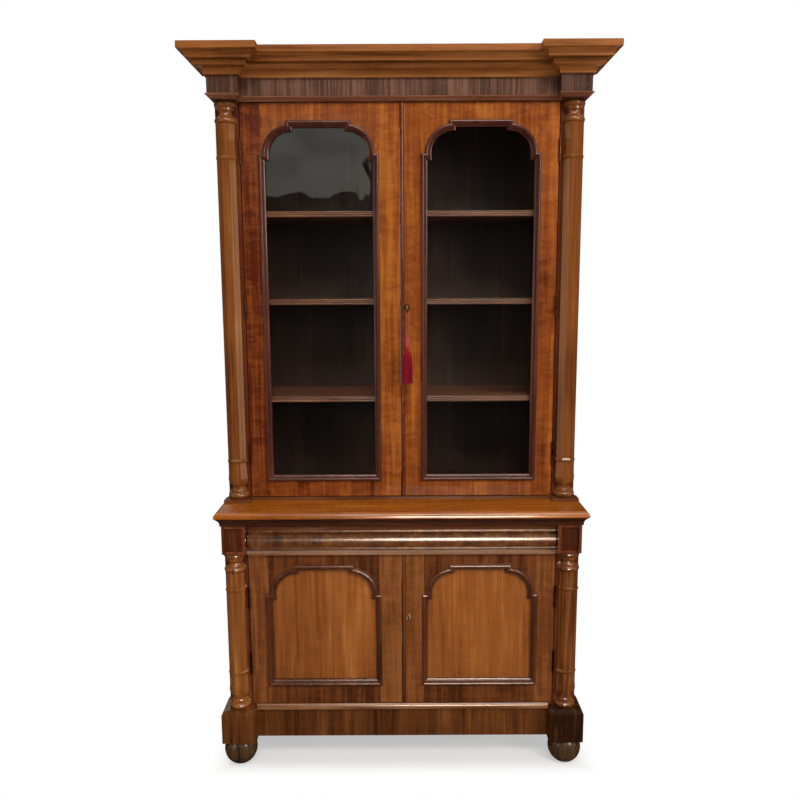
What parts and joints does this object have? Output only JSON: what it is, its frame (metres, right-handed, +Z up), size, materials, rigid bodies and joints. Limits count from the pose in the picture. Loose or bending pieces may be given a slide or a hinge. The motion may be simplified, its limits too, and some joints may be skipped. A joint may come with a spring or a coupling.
{
  "type": "glazed bookcase",
  "caption": "Tall two-part glazed bookcase: arched glass doors over a panelled cupboard with a frieze drawer, adjustable shelves on toothed racks, half columns, moulded cornice and bun feet.",
  "frame": {"origin": "on the floor under the middle of the overall width and depth", "axes": "+X to the viewer's right, -Y to the front, +Z up"},
  "size_m": [1.347, 0.5, 2.3665],
  "materials": {
    "polished_mahogany": "French-polished mahogany veneer",
    "carcase_wood": "plain stained carcase wood",
    "window_glass": "old window glass",
    "brass": "worn brass",
    "dark_bronze": "darkened brass",
    "lock_steel": "worn steel",
    "tassel_yarn": "red silky yarn"
  },
  "bodies": {
    "carcase": {"bun_feet": "polished_mahogany", "plinth_boards": "polished_mahogany", "plinth_blocks": "polished_mahogany", "plinth_cap": "polished_mahogany", "base_floor": "carcase_wood", "base_sides": "polished_mahogany", "base_back": "carcase_wood", "base_pilasters": "polished_mahogany", "base_columns": "polished_mahogany", "base_frieze_blocks": "polished_mahogany", "drawer_frame": "carcase_wood", "waist_moulding": "polished_mahogany", "waist_top": "polished_mahogany", "upper_base_moulding": "polished_mahogany", "upper_boards": "carcase_wood", "upper_sides": "polished_mahogany", "upper_back": "carcase_wood", "upper_pilasters": "polished_mahogany", "upper_columns": "polished_mahogany", "shelf_racks": "carcase_wood", "shelf_bearers": "carcase_wood", "frieze": "polished_mahogany", "neck_moulding": "polished_mahogany", "cornice": "polished_mahogany", "hinge_case_leaves": "dark_bronze", "hinge_pins": "dark_bronze"},
    "upper_left_door": {"upper_left_door_frame": "polished_mahogany", "upper_left_door_glass": "window_glass", "upper_left_door_moulding": "polished_mahogany", "upper_left_door_fittings": "brass"},
    "upper_right_door": {"upper_right_door_frame": "polished_mahogany", "upper_right_door_glass": "window_glass", "upper_right_door_moulding": "polished_mahogany", "upper_right_door_fittings": "brass", "upper_lock": "lock_steel"},
    "lower_left_door": {"lower_left_door_frame": "polished_mahogany", "lower_left_door_panel": "polished_mahogany", "lower_left_door_moulding": "polished_mahogany", "lower_left_door_fittings": "brass"},
    "lower_right_door": {"lower_right_door_frame": "polished_mahogany", "lower_right_door_panel": "polished_mahogany", "lower_right_door_moulding": "polished_mahogany", "lower_right_door_fittings": "brass", "lower_lock": "lock_steel"},
    "drawer": {"drawer_front": "polished_mahogany", "drawer_box": "carcase_wood", "drawer_bottom": "carcase_wood"},
    "lower_shelf_body": {"lower_shelf": "polished_mahogany"},
    "middle_shelf_body": {"middle_shelf": "polished_mahogany"},
    "top_shelf_body": {"top_shelf": "polished_mahogany"},
    "cupboard_shelf_body": {"cupboard_shelf": "carcase_wood"},
    "key": {"upper_key": "lock_steel"},
    "hanging_tassel": {"tassel_cord": "tassel_yarn", "tassel": "tassel_yarn"},
    "upper_bolt": {"upper_lock_bolt": "brass"},
    "lower_bolt": {"lower_lock_bolt": "brass"},
    "top_rod": {"upper_left_top_bolt": "brass"},
    "bottom_rod": {"upper_left_bottom_bolt": "brass"},
    "cupboard_rod": {"lower_left_bolt": "brass"}
  },
  "joints": [
    {"name": "upper_left_door_hinge", "type": "hinge", "parent": "carcase", "child": "upper_left_door", "pos_m": [-0.5155, -0.0874, 1.5685], "axis": [0, 0, -1], "range_deg": [0, 105]},
    {"name": "lower_left_door_hinge", "type": "hinge", "parent": "carcase", "child": "lower_left_door", "pos_m": [-0.5155, -0.1914, 0.479], "axis": [0, 0, -1], "range_deg": [0, 105]},
    {"name": "upper_right_door_hinge", "type": "hinge", "parent": "carcase", "child": "upper_right_door", "pos_m": [0.5155, -0.0874, 1.5685], "axis": [0, 0, 1], "range_deg": [0, 105]},
    {"name": "lower_right_door_hinge", "type": "hinge", "parent": "carcase", "child": "lower_right_door", "pos_m": [0.5155, -0.1914, 0.479], "axis": [0, 0, 1], "range_deg": [0, 105]},
    {"name": "drawer_slide", "type": "slide", "parent": "carcase", "child": "drawer", "axis": [0, -1, 0], "range_m": [0, 0.28]},
    {"name": "lower_shelf_lift", "type": "slide", "parent": "carcase", "child": "lower_shelf_body", "axis": [0, 0, 1], "range_m": [0, 0.2]},
    {"name": "middle_shelf_lift", "type": "slide", "parent": "carcase", "child": "middle_shelf_body", "axis": [0, 0, 1], "range_m": [0, 0.2]},
    {"name": "top_shelf_lift", "type": "slide", "parent": "carcase", "child": "top_shelf_body", "axis": [0, 0, 1], "range_m": [0, 0.2]},
    {"name": "cupboard_shelf_lift", "type": "slide", "parent": "carcase", "child": "cupboard_shelf_body", "axis": [0, 0, 1], "range_m": [0, 0.15]},
    {"name": "key_turn", "type": "hinge", "parent": "upper_right_door", "child": "key", "pos_m": [0.022, -0.118, 1.563], "axis": [0, 1, 0], "range_deg": [0, 90]},
    {"name": "upper_lock_throw", "type": "slide", "parent": "upper_right_door", "child": "upper_bolt", "axis": [-1, 0, 0], "range_m": [0, 0.008]},
    {"name": "tassel_hang", "type": "hinge", "parent": "key", "child": "hanging_tassel", "pos_m": [0.022, -0.118, 1.554], "axis": [0, 1, 0], "range_deg": [-90, 0]},
    {"name": "lower_lock_throw", "type": "slide", "parent": "lower_right_door", "child": "lower_bolt", "axis": [-1, 0, 0], "range_m": [0, 0.008]},
    {"name": "top_rod_throw", "type": "slide", "parent": "upper_left_door", "child": "top_rod", "axis": [0, 0, 1], "range_m": [0, 0.014]},
    {"name": "bottom_rod_throw", "type": "slide", "parent": "upper_left_door", "child": "bottom_rod", "axis": [0, 0, -1], "range_m": [0, 0.014]},
    {"name": "cupboard_rod_throw", "type": "slide", "parent": "lower_left_door", "child": "cupboard_rod", "axis": [0, 0, 1], "range_m": [0, 0.014]}
  ],
  "couplings": [
    {"joint": "upper_lock_throw", "follows": "key_turn", "m_per_rad": 0.005092},
    {"joint": "tassel_hang", "follows": "key_turn", "ratio": -1}
  ]
}
